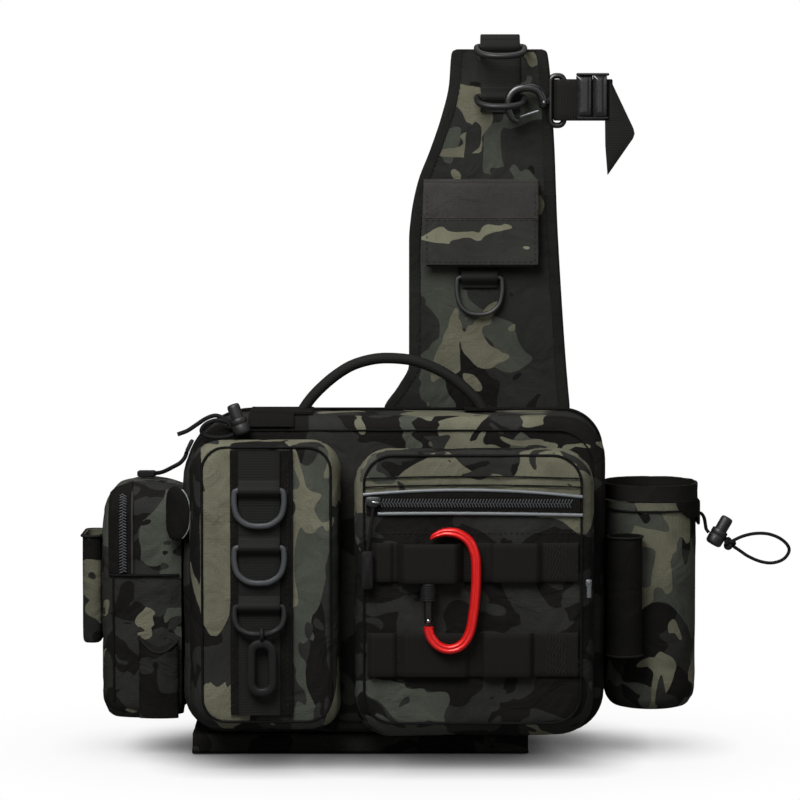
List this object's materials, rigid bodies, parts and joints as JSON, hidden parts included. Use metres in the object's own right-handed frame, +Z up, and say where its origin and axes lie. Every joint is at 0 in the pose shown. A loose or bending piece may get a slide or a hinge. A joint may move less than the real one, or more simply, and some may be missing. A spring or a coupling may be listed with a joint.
{
  "type": "fishing backpack",
  "caption": "Single-strap camouflage sling bag with front, side and bottle pockets, webbing loops, rings, a carabiner and a rod strap.",
  "frame": {"origin": "on the floor under the middle of the main body, on the flat underside of the base sleeve", "axes": "+Z up, -Y towards the front pockets, +X towards the bottle pocket"},
  "size_m": [0.5306, 0.2236, 0.5362],
  "materials": {
    "camo_fabric": "coated woven polyester, camouflage print",
    "black_fabric": "black woven polyester",
    "webbing": "black ribbed nylon webbing and cord",
    "grey_plastic": "moulded grey plastic",
    "black_plastic": "moulded black plastic",
    "red_metal": "red anodised",
    "steel": "bright steel wire"
  },
  "bodies": {
    "bag": {"main_body": "camo_fabric", "back_panel": "black_fabric", "base_sleeve": "black_fabric", "main_zipper": "black_fabric", "main_slider": "black_plastic", "main_pull_cord": "webbing", "main_pull_grip": "black_plastic", "front_left_pocket": "camo_fabric", "front_left_panel": "black_fabric", "ring_webbing": "webbing", "front_right_pocket": "camo_fabric", "front_zipper": "black_fabric", "front_slider": "black_plastic", "front_pull_cord": "webbing", "front_pull_grip": "black_plastic", "molle_row_upper": "webbing", "molle_row_lower": "webbing", "carabiner_body": "red_metal", "side_pocket": "camo_fabric", "side_zipper": "black_fabric", "cargo_pouch": "camo_fabric", "plier_sheath": "black_fabric", "bottle_pocket": "camo_fabric", "bottle_hem": "webbing", "hem_tab": "webbing", "rod_sleeve": "black_fabric", "drawstring_lock": "black_plastic", "drawstring_tie": "webbing", "drawstring_knot": "webbing", "drawstring_loop": "webbing", "top_lock": "black_plastic", "top_cord": "webbing", "top_loop": "webbing", "strap_pad": "camo_fabric", "strap_webbing": "webbing", "sling_webbing": "webbing", "strap_ring_hook": "black_plastic", "strap_pocket": "camo_fabric", "strap_flap": "camo_fabric", "strap_tab": "webbing", "snap_hook": "black_plastic", "snap_hook_eye": "black_plastic", "rod_strap": "webbing", "rod_buckle": "black_plastic", "rod_tail": "webbing", "handle_patch_left": "webbing", "handle_patch_right": "webbing", "carry_handle": "webbing"},
    "upper_ring": {"pocket_ring_upper": "grey_plastic"},
    "middle_ring": {"pocket_ring_middle": "grey_plastic"},
    "lower_ring": {"pocket_ring_lower": "black_plastic"},
    "clip": {"clip_loop": "grey_plastic"},
    "gate": {"carabiner_gate": "red_metal", "carabiner_sleeve": "black_plastic"},
    "strap_ring": {"strap_pocket_ring": "black_plastic"},
    "top_ring": {"strap_ring_top": "black_plastic"},
    "hook_gate": {"snap_hook_gate": "steel"},
    "bottle_button": {"drawstring_button": "black_plastic"},
    "shoulder_button": {"top_button": "black_plastic"}
  },
  "joints": [
    {"name": "upper_ring_swing", "type": "hinge", "parent": "bag", "child": "upper_ring", "pos_m": [-0.097, -0.10745, 0.2036], "axis": [-1, 0, 0], "range_deg": [0, 100]},
    {"name": "middle_ring_swing", "type": "hinge", "parent": "bag", "child": "middle_ring", "pos_m": [-0.097, -0.10745, 0.1623], "axis": [-1, 0, 0], "range_deg": [0, 100]},
    {"name": "lower_ring_swing", "type": "hinge", "parent": "bag", "child": "lower_ring", "pos_m": [-0.097, -0.10745, 0.1195], "axis": [-1, 0, 0], "range_deg": [0, 80]},
    {"name": "clip_swing", "type": "hinge", "parent": "lower_ring", "child": "clip", "pos_m": [-0.095, -0.11251, 0.09994], "axis": [-1, 0, 0], "range_deg": [0, 60]},
    {"name": "gate_open", "type": "hinge", "parent": "bag", "child": "gate", "pos_m": [0.025, -0.1108, 0.1096], "axis": [0.0453, 0.9972, -0.0593], "range_deg": [0, 15], "stiffness_Nm_per_rad": 0.02, "springref_deg": -20.05},
    {"name": "strap_ring_swing", "type": "hinge", "parent": "bag", "child": "strap_ring", "pos_m": [0.0655, 0.0638, 0.35], "axis": [-1, 0, 0], "range_deg": [0, 100]},
    {"name": "top_ring_swing", "type": "hinge", "parent": "bag", "child": "top_ring", "pos_m": [0.081, 0.06335, 0.526], "axis": [-1, 0, 0], "range_deg": [0, 70]},
    {"name": "hook_gate_open", "type": "hinge", "parent": "bag", "child": "hook_gate", "pos_m": [0.1098, 0.052, 0.4769], "axis": [0, 1, 0], "range_deg": [0, 25], "stiffness_Nm_per_rad": 0.005, "springref_deg": -17.19},
    {"name": "bottle_button_press", "type": "slide", "parent": "bag", "child": "bottle_button", "axis": [-0.4912, 0, -0.871], "range_m": [0, 0.0035], "stiffness_N_per_m": 300, "springref_m": -0.004},
    {"name": "shoulder_button_press", "type": "slide", "parent": "bag", "child": "shoulder_button", "axis": [0.3401, 0, -0.9404], "range_m": [0, 0.0035], "stiffness_N_per_m": 300, "springref_m": -0.004}
  ]
}
